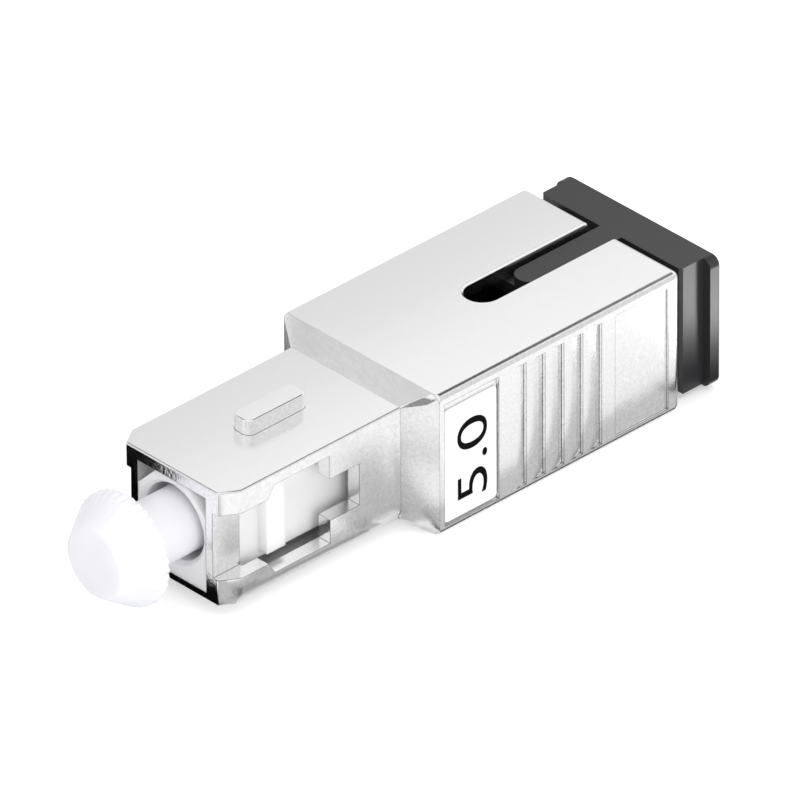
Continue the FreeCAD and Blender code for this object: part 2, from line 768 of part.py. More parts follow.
makers = [make_outer_shell, make_value_label, make_plug_frame, make_latch_housing,
          make_sleeve_retainer, make_split_sleeve, make_ferrule, make_doped_fibre,
          make_ferrule_flange, make_ferrule_spring, make_ferrule_dust_cap,
          make_receptacle_dust_plug]
pieces = [make() for make in makers]
doc.recompute()

# Nothing is written unless every feature worked and every piece is one sound solid
for item in doc.Objects:
    if "Invalid" in item.State or "Error" in item.State:
        raise RuntimeError(f"{item.Label} failed: {item.State}")
for item in doc.Objects:
    if item.TypeId == "PartDesign::Pocket" and item.Shape.Volume >= item.BaseFeature.Shape.Volume:
        raise RuntimeError(f"{item.Label} cuts nothing")
for piece in pieces:
    if piece.Shape.isNull() or not piece.Shape.isValid() or len(piece.Shape.Solids) != 1:
        raise RuntimeError(f"{piece.Label} is not one valid solid")

for piece in pieces:
    piece.Shape.exportStep(f"parts/{piece.Label}.step")
    box = piece.Shape.BoundBox
    print(f"{piece.Label}: X {box.XMin:.2f} to {box.XMax:.2f}, Y {box.YMin:.2f} to {box.YMax:.2f}, "
          f"Z {box.ZMin:.2f} to {box.ZMax:.2f}, {piece.Shape.Volume:.2f} mm3")
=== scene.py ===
import math

import bmesh
import bpy
from mathutils import Matrix, Vector


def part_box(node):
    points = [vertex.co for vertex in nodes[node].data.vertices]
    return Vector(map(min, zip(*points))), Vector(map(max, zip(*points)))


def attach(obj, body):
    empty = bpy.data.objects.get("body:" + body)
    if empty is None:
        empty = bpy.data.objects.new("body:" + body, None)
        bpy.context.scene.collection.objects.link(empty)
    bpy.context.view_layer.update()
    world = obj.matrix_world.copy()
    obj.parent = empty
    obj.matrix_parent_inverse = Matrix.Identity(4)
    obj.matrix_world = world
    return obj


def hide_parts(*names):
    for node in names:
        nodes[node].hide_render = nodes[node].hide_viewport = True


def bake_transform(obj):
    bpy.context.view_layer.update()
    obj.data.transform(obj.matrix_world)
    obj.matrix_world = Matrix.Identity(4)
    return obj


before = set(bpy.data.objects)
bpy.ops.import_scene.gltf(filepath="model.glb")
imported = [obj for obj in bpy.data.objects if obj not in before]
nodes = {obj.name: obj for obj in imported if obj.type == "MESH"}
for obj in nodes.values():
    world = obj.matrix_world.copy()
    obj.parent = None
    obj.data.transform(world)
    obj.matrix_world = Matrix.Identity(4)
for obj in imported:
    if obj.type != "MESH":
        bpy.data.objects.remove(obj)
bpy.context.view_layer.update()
mm = 0.001
print("frame loaded:", len(nodes), "solids")


# Helpers

def linearColour(hexText):
    # An sRGB colour such as "#F2F2F2" as a linear one
    channels = [int(hexText[at:at + 2], 16) / 255 for at in (1, 3, 5)]
    linear = [c / 12.92 if c <= 0.04045 else ((c + 0.055) / 1.055) ** 2.4 for c in channels]
    return (*linear, 1.0)


def addNode(tree, kind, inputs=None, **settings):
    # Adds one node; an input's value is a number, a colour or another node's socket
    node = tree.nodes.new(kind)
    for name, value in settings.items():
        setattr(node, name, value)
    for name, value in (inputs or {}).items():
        if isinstance(value, bpy.types.NodeSocket):
            tree.links.new(value, node.inputs[name])
        else:
            node.inputs[name].default_value = value
    return node


def addPiece(name, mesh, material, body, slotName, *replaced):
    # One finished piece; without a body it is left unattached
    piece = bpy.data.objects.new(name, mesh)
    bpy.context.scene.collection.objects.link(piece)
    mesh.materials.clear()
    mesh.materials.append(material)
    if body:
        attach(piece, body)
    if replaced:
        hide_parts(*replaced)
    return piece


def finishedMesh(piece):
    # The piece's mesh with its modifiers applied; the working object goes away
    bpy.context.view_layer.update()
    graph = bpy.context.evaluated_depsgraph_get()
    mesh = bpy.data.meshes.new_from_object(piece.evaluated_get(graph))
    bpy.data.objects.remove(piece)
    return mesh


def workObject(name, mesh):
    piece = bpy.data.objects.new(name, mesh)
    bpy.context.scene.collection.objects.link(piece)
    return piece


edgeLook = {
    "mergeWithin": 0.0005,   # millimetres
    "sharpAngle": 33,        # degrees: edges that turn more than this stay crisp
    "roundAngle": 28,        # degrees: edges that turn more than this get the small round
    "roundSteps": 2,
    "flatWeight": 90,        # how far large faces lead the shading of small ones
}


def easedMesh(name, mesh, width=0.0):
    # Worked in millimetres: with a width, sharp edges get a small round that catches the light
    piece = workObject(name, mesh)
    if width:
        ease = piece.modifiers.new("eased", "BEVEL")
        ease.width = width
        ease.segments = edgeLook["roundSteps"]
        ease.limit_method = "ANGLE"
        ease.angle_limit = math.radians(edgeLook["roundAngle"])
        ease.use_clamp_overlap = False
        ease.miter_outer = "MITER_ARC"
    eased = finishedMesh(piece)
    eased.shade_smooth()
    eased.set_sharp_from_angle(angle=math.radians(edgeLook["sharpAngle"]))
    piece = workObject(name, eased)
    weighted = piece.modifiers.new("weighted", "WEIGHTED_NORMAL")
    weighted.keep_sharp = True
    weighted.weight = edgeLook["flatWeight"]
    eased = finishedMesh(piece)
    eased.transform(Matrix.Scale(mm, 4))
    return eased


def mergedSolid(name):
    # A copy of the solid's surface in millimetres, as one closed skin
    mesh = nodes[name].data.copy()
    if "custom_normal" in mesh.attributes:
        mesh.attributes.remove(mesh.attributes["custom_normal"])
    mesh.transform(Matrix.Scale(1 / mm, 4))
    skin = bmesh.new()
    skin.from_mesh(mesh)
    bmesh.ops.remove_doubles(skin, verts=skin.verts, dist=edgeLook["mergeWithin"])
    skin.to_mesh(mesh)
    skin.free()
    return mesh


def roundedOutline(corners):
    # Points of a flat outline; each corner is (across, up, radius of its round, steps of the round)
    points = []
    for at, (*place, radius, steps) in enumerate(corners):
        corner = Vector(place)
        if not radius:
            points.append(corner)
            continue
        before = (Vector(corners[at - 1][:2]) - corner).normalized()
        after = (Vector(corners[(at + 1) % len(corners)][:2]) - corner).normalized()
        half = before.angle(after) / 2
        centre = corner + (before + after).normalized() * radius / math.sin(half)
        first = corner + before * radius / math.tan(half) - centre
        last = corner + after * radius / math.tan(half) - centre
        points += [centre + first.slerp(last, step / steps) * radius for step in range(steps + 1)]
    return points


# Materials: every scale is a real size in millimetres

def emptyTree(owner):
    # The nodes of a material or of the world, cleared
    owner.use_nodes = True
    owner.node_tree.nodes.clear()
    return owner.node_tree


def newMaterial(name):
    material = bpy.data.materials.new(name)
    tree = emptyTree(material)
    shader = addNode(tree, "ShaderNodeBsdfPrincipled")
    addNode(tree, "ShaderNodeOutputMaterial", {"Surface": shader.outputs[0]})
    return material, tree, shader


def perSize(size):
    # Texture scale that gives features of that size in millimetres
    return 1 / (size * mm)


nickelLook = {
    # the ranges say where an effect starts and where it is full, or the other way round
    "colour": "#FBFBFB",
    "shade": "#CFCFCF",            # of the flecks in it
    "roughness": 0.22,
    "grainSize": 0.13,             # drawn coarser than real, so that it shows
    "grainHeight": 0.0045,
    "peelSize": 0.7,
    "peelHeight": 0.003,
    "fleckSize": 0.2,
    "fleckRange": (0.35, 0.65),
    "fleckShare": 0.38,
    "polishRange": (0.55, 0.9),    # Z of the direction that a face looks in
    "polishLeaves": 0.12,          # share of grain and flecks left on a polished face
    # painted shade: the colour of the dark line painted along the sharp edges
    "paintedEdgeShade": "#3A3A3A",
    "edgeReach": 0.08,
    "edgeSamples": 8,
    "edgeRange": (0.82, 0.985),    # how well a face agrees with its rounded self
    "trimRange": (-0.97, -0.9),    # X of the direction that a face looks in
    "trimRoughness": 0.1,
    "trimSize": 0.2,
    "trimHeight": 0.011,
}


def makeSatinNickel():
    # Zinc die casting under satin nickel: bright and soft, with a fine cast grain on the upright
    # faces and a smoother top, which was polished before plating
    material, tree, shader = newMaterial("satin_nickel_on_zinc_casting")
    place = addNode(tree, "ShaderNodeTexCoord").outputs["Object"]
    facing = addNode(tree, "ShaderNodeNewGeometry").outputs["Normal"]
    upward = addNode(tree, "ShaderNodeSeparateXYZ", {0: facing}).outputs["Z"]
    low, high = nickelLook["polishRange"]
    cast = addNode(tree, "ShaderNodeMapRange", {
        "Value": upward, "From Min": low, "From Max": high, "To Min": 1.0,
        "To Max": nickelLook["polishLeaves"]}).outputs[0]
    grain = addNode(tree, "ShaderNodeTexNoise", {
        "Vector": place, "Scale": perSize(nickelLook["grainSize"]), "Detail": 3.0,
        "Roughness": 0.6}).outputs[0]
    peel = addNode(tree, "ShaderNodeTexNoise", {
        "Vector": place, "Scale": perSize(nickelLook["peelSize"]), "Detail": 1.0}).outputs[0]
    flecks = addNode(tree, "ShaderNodeTexNoise", {
        "Vector": place, "Scale": perSize(nickelLook["fleckSize"]), "Detail": 4.0,
        "Roughness": 0.7}).outputs[0]
    low, high = nickelLook["fleckRange"]
    spread = addNode(tree, "ShaderNodeMapRange", {
        "Value": flecks, "From Min": low, "From Max": high,
        "To Max": nickelLook["fleckShare"]}).outputs[0]
    amount = addNode(tree, "ShaderNodeMath", {0: spread, 1: cast}, operation="MULTIPLY").outputs[0]
    tint = addNode(tree, "ShaderNodeMix", {
        "Factor": amount, "A": linearColour(nickelLook["colour"]),
        "B": linearColour(nickelLook["shade"])}, data_type="RGBA").outputs["Result"]
    # Painted shade: a thin dark line painted along the sharp edges, standing in for the dark
    # surroundings that the rounded edges mirror
    rounded = addNode(tree, "ShaderNodeBevel", {"Radius": nickelLook["edgeReach"] * mm},
                      samples=nickelLook["edgeSamples"])
    turned = addNode(tree, "ShaderNodeVectorMath", {0: rounded.outputs[0], 1: facing},
                     operation="DOT_PRODUCT").outputs["Value"]
    low, high = nickelLook["edgeRange"]
    line = addNode(tree, "ShaderNodeMapRange", {
        "Value": turned, "From Min": low, "From Max": high, "To Min": 1.0,
        "To Max": 0.0}).outputs[0]
    withPaintedEdgeShade = addNode(tree, "ShaderNodeMix", {
        "Factor": line, "A": tint, "B": linearColour(nickelLook["paintedEdgeShade"])},
        data_type="RGBA").outputs["Result"]
    waves = addNode(tree, "ShaderNodeBump", {
        "Height": peel, "Distance": nickelLook["peelHeight"] * mm, "Strength": 1.0})
    rough = addNode(tree, "ShaderNodeBump", {
        "Height": grain, "Normal": waves.outputs[0], "Strength": cast,
        "Distance": nickelLook["grainHeight"] * mm})
    # The faces that look ahead were only trimmed, so they stay coarse
    ahead = addNode(tree, "ShaderNodeSeparateXYZ", {0: facing}).outputs["X"]
    low, high = nickelLook["trimRange"]
    trimmed = addNode(tree, "ShaderNodeMapRange", {
        "Value": ahead, "From Min": low, "From Max": high, "To Min": 1.0,
        "To Max": 0.0}).outputs[0]
    pits = addNode(tree, "ShaderNodeTexNoise", {
        "Vector": place, "Scale": perSize(nickelLook["trimSize"]), "Detail": 2.0}).outputs[0]
    coarse = addNode(tree, "ShaderNodeBump", {
        "Height": pits, "Normal": rough.outputs[0], "Strength": trimmed,
        "Distance": nickelLook["trimHeight"] * mm})
    sheen = addNode(tree, "ShaderNodeMapRange", {
        "Value": trimmed, "To Min": nickelLook["roughness"],
        "To Max": nickelLook["trimRoughness"]}).outputs[0]
    shader.inputs["Metallic"].default_value = 1.0
    tree.links.new(sheen, shader.inputs["Roughness"])
    tree.links.new(withPaintedEdgeShade, shader.inputs["Base Color"])
    tree.links.new(coarse.outputs[0], shader.inputs["Normal"])
    return material


plasticLooks = {
    # sizes in millimetres; each grain is drawn coarser than real, so that it shows; soft is how
    # much light goes into the plastic and softReach how deep
    "white_pbt_moulding": {     # bright and a little waxy: light goes in and softens the shadows
        "colour": "#F8F8F9", "roughness": 0.38, "grainSize": 0.12, "grainHeight": 0.0012,
        "soft": 0.6, "softReach": 1.0},
    "milky_pe_moulding": {      # soft cap plastic: cool white, duller, and milky at its thin rim
        "colour": "#F1F1F6", "roughness": 0.42, "grainSize": 0.2, "grainHeight": 0.0015,
        "soft": 0.45, "softReach": 0.9},
    "charcoal_pp_moulding": {   # dark grey rather than black, with broad highlights
        "colour": "#2D2D2F", "roughness": 0.3, "grainSize": 0.14, "grainHeight": 0.002},
    "dark_pbt_moulding": {      # dark and dull, with a trace of blue
        "colour": "#2A2C30", "roughness": 0.4, "grainSize": 0.12, "grainHeight": 0.002},
    "polyester_label_film": {   # white film, nearly flat, with a soft sheen
        "colour": "#FBFBFA", "roughness": 0.33, "grainSize": 0.3, "grainHeight": 0.001},
    "black_thermal_print": {    # matt black that hardly mirrors anything
        "colour": "#060606", "roughness": 0.8, "grainSize": 0.1, "grainHeight": 0.0005,
        "gloss": 0.1},
}
cloudLook = {
    "size": 3.0,                # millimetres
    "depth": 0.94,              # brightness of its darker parts
    "range": (0.3, 0.7),        # noise levels of the darker and the brighter parts
}


def makePlastic(name, colour, roughness, grainSize, grainHeight, soft=0.0, softReach=0.5,
                gloss=0.5):
    # Even colour with a faint cloud in it, under the fine grain of the mould, film or print
    material, tree, shader = newMaterial(name)
    place = addNode(tree, "ShaderNodeTexCoord").outputs["Object"]
    grain = addNode(tree, "ShaderNodeTexNoise", {
        "Vector": place, "Scale": perSize(grainSize), "Detail": 2.0}).outputs[0]
    cloud = addNode(tree, "ShaderNodeTexNoise", {
        "Vector": place, "Scale": perSize(cloudLook["size"]), "Detail": 1.0}).outputs[0]
    ramp = addNode(tree, "ShaderNodeValToRGB", {"Fac": cloud})
    bright = linearColour(colour)
    dull = (*(cloudLook["depth"] * channel for channel in bright[:3]), 1.0)
    for stop, shade, where in zip(ramp.color_ramp.elements, (dull, bright), cloudLook["range"]):
        stop.color = shade
        stop.position = where
    bump = addNode(tree, "ShaderNodeBump", {
        "Height": grain, "Distance": grainHeight * mm, "Strength": 1.0})
    tree.links.new(ramp.outputs["Color"], shader.inputs["Base Color"])
    tree.links.new(bump.outputs[0], shader.inputs["Normal"])
    shader.inputs["Roughness"].default_value = roughness
    shader.inputs["Specular IOR Level"].default_value = gloss
    if soft:
        shader.inputs["Subsurface Weight"].default_value = soft
        shader.inputs["Subsurface Scale"].default_value = softReach * mm
        shader.inputs["Subsurface Radius"].default_value = (1.0, 1.0, 1.0)
    return material


polishedLooks = {
    # sizes in millimetres; the lines are drawn coarser than real, so that they show
    "ground_zirconia": {          # cream ceramic, smooth enough to mirror
        "colour": "#EFECE3", "metallic": 0.0, "roughness": 0.1, "lineSize": 0.05},
    "turned_stainless_steel": {   # grey metal with fine turning lines
        "colour": "#C9C8C6", "metallic": 1.0, "roughness": 0.25, "lineSize": 0.06},
    "drawn_spring_wire": {        # duller grey metal
        "colour": "#B9B7B3", "metallic": 1.0, "roughness": 0.3, "lineSize": 0.05},
    "doped_glass_fibre": {        # pale bluish dot, as smooth as glass
        "colour": "#DDE4E8", "metallic": 0.0, "roughness": 0.05, "lineSize": 0.05},
}
lineLook = {
    "stretch": (1.0, 0.02, 0.02),   # the lines run round the axis
    "height": 0.0004,
}


def makePolished(name, colour, metallic, roughness, lineSize):
    # Ground, turned or drawn surface: hardly any texture, only the fine lines of the work
    material, tree, shader = newMaterial(name)
    place = addNode(tree, "ShaderNodeTexCoord").outputs["Object"]
    lines = addNode(tree, "ShaderNodeMapping", {"Vector": place, "Scale": lineLook["stretch"]})
    grain = addNode(tree, "ShaderNodeTexNoise", {
        "Vector": lines.outputs[0], "Scale": perSize(lineSize), "Detail": 2.0}).outputs[0]
    bump = addNode(tree, "ShaderNodeBump", {"Height": grain, "Distance": lineLook["height"] * mm})
    tree.links.new(bump.outputs[0], shader.inputs["Normal"])
    shader.inputs["Base Color"].default_value = linearColour(colour)
    shader.inputs["Metallic"].default_value = metallic
    shader.inputs["Roughness"].default_value = roughness
    return material


satinNickel = makeSatinNickel()
plastic = {name: makePlastic(name, **look) for name, look in plasticLooks.items()}
polished = {name: makePolished(name, **look) for name, look in polishedLooks.items()}
print("materials made")


# Solids that keep their own surface

carriedOver = {
    "ferrule": polished["ground_zirconia"],
    "split_sleeve": polished["ground_zirconia"],
    "doped_fibre": polished["doped_glass_fibre"],
    "ferrule_flange": polished["turned_stainless_steel"],
    "sleeve_retainer": plastic["dark_pbt_moulding"],
}
for nodeName, material in carriedOver.items():
    for holder in nodes[nodeName].material_slots:
        holder.material = material


# Castings and mouldings

easedPieces = {
    "outer_shell": {"piece": "shell_casting", "body": "shell", "slot": "plated_casting",
                    "material": satinNickel},
    "plug_frame": {"piece": "plug_frame_moulding", "body": "core", "slot": "white_moulding",
                   "material": plastic["white_pbt_moulding"]},
    "latch_housing": {"piece": "latch_housing_moulding", "body": "core", "slot": "dark_moulding",
                      "material": plastic["dark_pbt_moulding"]},
    "receptacle_dust_plug": {"piece": "dust_plug_moulding", "body": "dust_plug",
                             "slot": "black_moulding",
                             "material": plastic["charcoal_pp_moulding"]},
}
for nodeName, look in easedPieces.items():
    mesh = easedMesh(nodeName, mergedSolid(nodeName))
    addPiece(look["piece"], mesh, look["material"], look["body"], look["slot"], nodeName)
    print(look["piece"], len(mesh.polygons), "faces")


# Value label and its numbers

labelLook = {
    "corner": (0.3, 6),    # radius and steps
    "edge": 0.02,          # small round along the film's edges
    "text": "5.0",
    "height": 2.35,
    "leftX": 18.7,
    "startZ": -3.25,
    "width": 5.4,
    "inkHeight": 0.012,
    "strokeGrowth": -0.004,   # below zero, so that the strokes come out thinner
    "strokeSteps": 8,
}


def makeLabelFilm():
    low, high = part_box("value_label")
    low, high = low / mm, high / mm
    corners = [(high.x, high.z), (low.x, high.z), (low.x, low.z), (high.x, low.z)]
    outline = roundedOutline([(x, z, *labelLook["corner"]) for x, z in corners])
    skin = bmesh.new()
    front = skin.faces.new([skin.verts.new((x, low.y, z)) for x, z in outline])
    grown = bmesh.ops.extrude_face_region(skin, geom=[front])
    moved = [item for item in grown["geom"] if isinstance(item, bmesh.types.BMVert)]
    bmesh.ops.translate(skin, verts=moved, vec=(0, high.y - low.y, 0))
    bmesh.ops.recalc_face_normals(skin, faces=skin.faces)
    mesh = bpy.data.meshes.new("label_film")
    skin.to_mesh(mesh)
    skin.free()
    return easedMesh("label_film", mesh, labelLook["edge"]), low.y


def makeNumbers(faceY):
    # The numbers read upwards: their tops point to the plug and their feet to the receptacle
    curve = bpy.data.curves.new("numbers", "FONT")
    curve.body = labelLook["text"]
    curve.extrude = labelLook["inkHeight"] / 2
    curve.offset = labelLook["strokeGrowth"]
    curve.resolution_u = labelLook["strokeSteps"]
    mesh = finishedMesh(workObject("numbers", curve))
    low = Vector(map(min, *(vertex.co for vertex in mesh.vertices)))
    high = Vector(map(max, *(vertex.co for vertex in mesh.vertices)))
    across = labelLook["width"] / (high.x - low.x)
    upright = labelLook["height"] / (high.y - low.y)
    for vertex in mesh.vertices:
        along = (vertex.co.x - low.x) * across
        up = (vertex.co.y - low.y) * upright
        out = vertex.co.z + labelLook["inkHeight"] / 2
        vertex.co = (labelLook["leftX"] - up, faceY - out, labelLook["startZ"] + along)
    mesh.transform(Matrix.Scale(mm, 4))
    return mesh


film, filmFace = makeLabelFilm()
addPiece("label_film", film, plastic["polyester_label_film"], "shell", "label_film",
         "value_label")
addPiece("label_numbers", makeNumbers(filmFace), plastic["black_thermal_print"], "shell",
         "label_film")
print("label made")


# Dust cap on the ferrule: turned section with a toothed rim, swept by Geometry Nodes

capLook = {
    # sizes in millimetres; a round is its radius and its steps
    "teeth": 40,
    "toothDepth": 0.15,
    "stepsPerTooth": 6,
    "toothFoot": 0.17,        # below the rim, just under the gaps between the teeth
    "square": (0.0, 0),       # a corner left as it is
    "faceRadius": 2.2,        # of the flat front
    "faceRound": (0.35, 4),
    "coneLength": 2.05,       # from the front to the rim
    "coneRound": (0.22, 2),
    "rimLength": 0.55,
    "rimRound": (0.05, 2),
    "neckRadius": 2.0,
    "neckRound": (0.15, 2),
    "boreRadius": 1.3,
    "boreDepth": 5.4,
    "mouthRound": (0.08, 1),
    "sharpAngle": 40,         # degrees
    "mergeWithin": 0.002,
}


def capCorners():
    # Half of the cap's section, from the middle of its front over the rim and into its bore
    low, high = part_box("ferrule_dust_cap")
    front, back, rim = low.x / mm, high.x / mm, high.z / mm
    face, neck, bore = capLook["faceRadius"], capLook["neckRadius"], capLook["boreRadius"]
    rimFront = front + capLook["coneLength"]
    rimBack = rimFront + capLook["rimLength"]
    boreEnd = back - capLook["boreDepth"]
    foot = rim - capLook["toothFoot"]
    footPlace = front + capLook["coneLength"] * (foot - face) / (rim - face)
    corners = [(front, 0.0, "square"), (front, face, "faceRound"), (footPlace, foot, "square"),
               (rimFront, rim, "coneRound"), (rimBack, rim, "rimRound"),
               (rimBack, neck, "neckRound"), (back, neck, "mouthRound"),
               (back, bore, "mouthRound"), (boreEnd, bore, "square"), (boreEnd, 0.0, "square")]
    return [(x, radius, *capLook[kind]) for x, radius, kind in corners]


def makeCapTree(material):
    tree = bpy.data.node_groups.new("toothed_cap", "GeometryNodeTree")
    face = tree.interface
    face.new_socket("Section", in_out="INPUT", socket_type="NodeSocketGeometry")
    for name, kind in (("Teeth", "Int"), ("Steps per tooth", "Int"), ("Points in section", "Int"),
                       ("Tooth depth", "Float"), ("Rim radius", "Float")):
        face.new_socket(name, in_out="INPUT", socket_type="NodeSocket" + kind)
    face.new_socket("Cap", in_out="OUTPUT", socket_type="NodeSocketGeometry")
    given = addNode(tree, "NodeGroupInput").outputs
    steps = addNode(tree, "ShaderNodeMath", {0: given["Teeth"], 1: given["Steps per tooth"]},
                    operation="MULTIPLY").outputs[0]
    rows = addNode(tree, "ShaderNodeMath", {0: steps, 1: 1.0}, operation="ADD").outputs[0]
    grid = addNode(tree, "GeometryNodeMeshGrid", {
        "Vertices X": given["Points in section"], "Vertices Y": rows}).outputs["Mesh"]
    index = addNode(tree, "GeometryNodeInputIndex").outputs[0]
    ratio = addNode(tree, "ShaderNodeMath", {0: index, 1: rows}, operation="DIVIDE").outputs[0]
    column = addNode(tree, "ShaderNodeMath", {0: ratio}, operation="FLOOR").outputs[0]
    row = addNode(tree, "ShaderNodeMath", {0: index, 1: rows}, operation="MODULO").outputs[0]
    position = addNode(tree, "GeometryNodeInputPosition").outputs[0]
    point = addNode(tree, "GeometryNodeSampleIndex", {
        "Geometry": given["Section"], "Value": position, "Index": column},
        data_type="FLOAT_VECTOR", domain="POINT")
    part = addNode(tree, "ShaderNodeSeparateXYZ", {0: point.outputs[0]}).outputs
    share = addNode(tree, "ShaderNodeMath", {0: row, 1: steps}, operation="DIVIDE").outputs[0]
    turn = addNode(tree, "ShaderNodeMath", {0: share, 1: 2 * math.pi}, operation="MULTIPLY").outputs[0]
    pitch = addNode(tree, "ShaderNodeMath", {0: share, 1: given["Teeth"]},
                    operation="MULTIPLY").outputs[0]
    wave = addNode(tree, "ShaderNodeMath", {0: pitch, 1: 0.5}, operation="PINGPONG").outputs[0]
    cut = addNode(tree, "ShaderNodeMath", {0: wave, 1: 2.0}, operation="MULTIPLY").outputs[0]
    depth = addNode(tree, "ShaderNodeMath", {0: cut, 1: given["Tooth depth"]},
                    operation="MULTIPLY").outputs[0]
    limit = addNode(tree, "ShaderNodeMath", {0: given["Rim radius"], 1: depth},
                    operation="SUBTRACT").outputs[0]
    radius = addNode(tree, "ShaderNodeMath", {0: part["Y"], 1: limit}, operation="MINIMUM").outputs[0]
    cosine = addNode(tree, "ShaderNodeMath", {0: turn}, operation="COSINE").outputs[0]
    sine = addNode(tree, "ShaderNodeMath", {0: turn}, operation="SINE").outputs[0]
    across = addNode(tree, "ShaderNodeMath", {0: radius, 1: cosine}, operation="MULTIPLY").outputs[0]
    up = addNode(tree, "ShaderNodeMath", {0: radius, 1: sine}, operation="MULTIPLY").outputs[0]
    place = addNode(tree, "ShaderNodeCombineXYZ", {"X": part["X"], "Y": across, "Z": up}).outputs[0]
    turned = addNode(tree, "GeometryNodeSetPosition", {"Geometry": grid, "Position": place}).outputs[0]
    closed = addNode(tree, "GeometryNodeMergeByDistance", {
        "Geometry": turned, "Distance": capLook["mergeWithin"]}).outputs[0]
    real = addNode(tree, "GeometryNodeRealizeInstances", {"Geometry": closed}).outputs[0]
    dressed = addNode(tree, "GeometryNodeSetMaterial", {"Geometry": real, "Material": material})
    addNode(tree, "NodeGroupOutput", {"Cap": dressed.outputs[0]})
    return tree


def setInputs(modifier, values):
    for socket in modifier.node_group.interface.items_tree:
        if socket.item_type == "SOCKET" and socket.name in values:
            modifier[socket.identifier] = values[socket.name]


def outwardMesh(mesh):
    skin = bmesh.new()
    skin.from_mesh(mesh)
    bmesh.ops.recalc_face_normals(skin, faces=skin.faces)
    skin.to_mesh(mesh)
    skin.free()
    return mesh


def makeDustCap():
    section = bpy.data.meshes.new("cap_section")
    points = [(x, radius, 0) for x, radius in roundedOutline(capCorners())]
    section.from_pydata(points, [(at, at + 1) for at in range(len(points) - 1)], [])
    piece = workObject("cap_section", section)
    sweep = piece.modifiers.new("sweep", "NODES")
    sweep.node_group = makeCapTree(plastic["milky_pe_moulding"])
    setInputs(sweep, {"Teeth": capLook["teeth"], "Steps per tooth": capLook["stepsPerTooth"],
                      "Points in section": len(points), "Tooth depth": capLook["toothDepth"],
                      "Rim radius": max(radius for x, radius, up in points)})
    mesh = outwardMesh(finishedMesh(piece))
    mesh.transform(Matrix.Scale(mm, 4))
    mesh.shade_smooth()
    mesh.set_sharp_from_angle(angle=math.radians(capLook["sharpAngle"]))
    return mesh


addPiece("dust_cap_moulding", makeDustCap(), plastic["milky_pe_moulding"], "dust_cap",
         "cap_moulding", "ferrule_dust_cap")
print("dust cap made")


# Ferrule spring: wire wound round the axis, with closed ends, by Geometry Nodes

springLook = {
    # sizes in millimetres
    "wire": 0.36,
    "radius": 1.95,
    "start": 4.5,
    "end": 11.6,
    "turns": 8.0,
    "pointsPerTurn": 40,
    "wirePoints": 14,
    "closedShare": 0.12,     # of the turns, at each end
    "sharpAngle": 50,        # degrees
}


